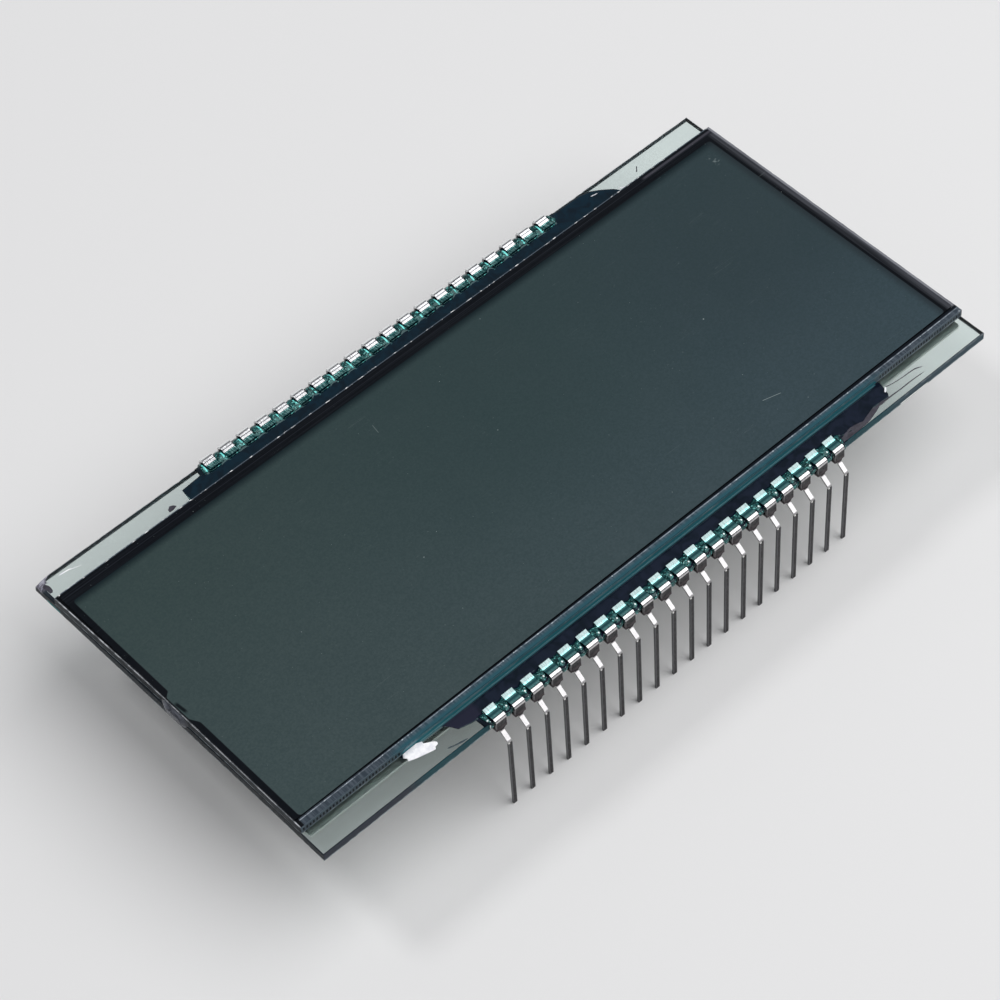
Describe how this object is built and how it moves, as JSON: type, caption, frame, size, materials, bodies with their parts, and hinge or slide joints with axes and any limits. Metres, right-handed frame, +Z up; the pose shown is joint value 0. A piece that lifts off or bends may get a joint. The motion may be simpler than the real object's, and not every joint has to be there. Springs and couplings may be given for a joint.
{
  "type": "lcd module",
  "caption": "Bare reflective liquid-crystal display glass with clip-on pins along both long sides, locked with clear glue, for plugging into a board.",
  "frame": {"origin": "middle of the display, at the height of the pin tips", "axes": "+X along the long side of the glass away from the end seal, +Y across the glass towards the far row of pins, +Z up out of the viewing face"},
  "size_m": [0.0943, 0.0492, 0.0151],
  "materials": {
    "clear_glass": "clear float glass with a faint green edge",
    "front_film": "smooth grey-green polarising film, lightly dusty and scratched",
    "rear_film": "satin silver reflective film",
    "seal_resin": "translucent printed resin",
    "crystal_layer": "clear fluid film",
    "plug_resin": "clear hardened drop",
    "tinned_pin": "bright tin plate on stamped strip",
    "clear_glue": "glossy clear glue with a blue-green cast"
  },
  "bodies": {
    "root": {"rear_glass": "clear_glass", "front_glass": "clear_glass", "front_polariser": "front_film", "rear_polariser": "rear_film", "perimeter_seal": "seal_resin", "port_dam": "seal_resin", "liquid_crystal": "crystal_layer", "end_seal": "plug_resin", "near_glue_bead": "clear_glue", "far_glue_bead": "clear_glue", "near_pin_01": "tinned_pin", "near_pin_02": "tinned_pin", "near_pin_03": "tinned_pin", "near_pin_04": "tinned_pin", "near_pin_05": "tinned_pin", "near_pin_06": "tinned_pin", "near_pin_07": "tinned_pin", "near_pin_08": "tinned_pin", "near_pin_09": "tinned_pin", "near_pin_10": "tinned_pin", "near_pin_11": "tinned_pin", "near_pin_12": "tinned_pin", "near_pin_13": "tinned_pin", "near_pin_14": "tinned_pin", "near_pin_15": "tinned_pin", "near_pin_16": "tinned_pin", "near_pin_17": "tinned_pin", "near_pin_18": "tinned_pin", "near_pin_19": "tinned_pin", "near_pin_20": "tinned_pin", "far_pin_01": "tinned_pin", "far_pin_02": "tinned_pin", "far_pin_03": "tinned_pin", "far_pin_04": "tinned_pin", "far_pin_05": "tinned_pin", "far_pin_06": "tinned_pin", "far_pin_07": "tinned_pin", "far_pin_08": "tinned_pin", "far_pin_09": "tinned_pin", "far_pin_10": "tinned_pin", "far_pin_11": "tinned_pin", "far_pin_12": "tinned_pin", "far_pin_13": "tinned_pin", "far_pin_14": "tinned_pin", "far_pin_15": "tinned_pin", "far_pin_16": "tinned_pin", "far_pin_17": "tinned_pin", "far_pin_18": "tinned_pin", "far_pin_19": "tinned_pin", "far_pin_20": "tinned_pin"}
  },
  "joints": []
}
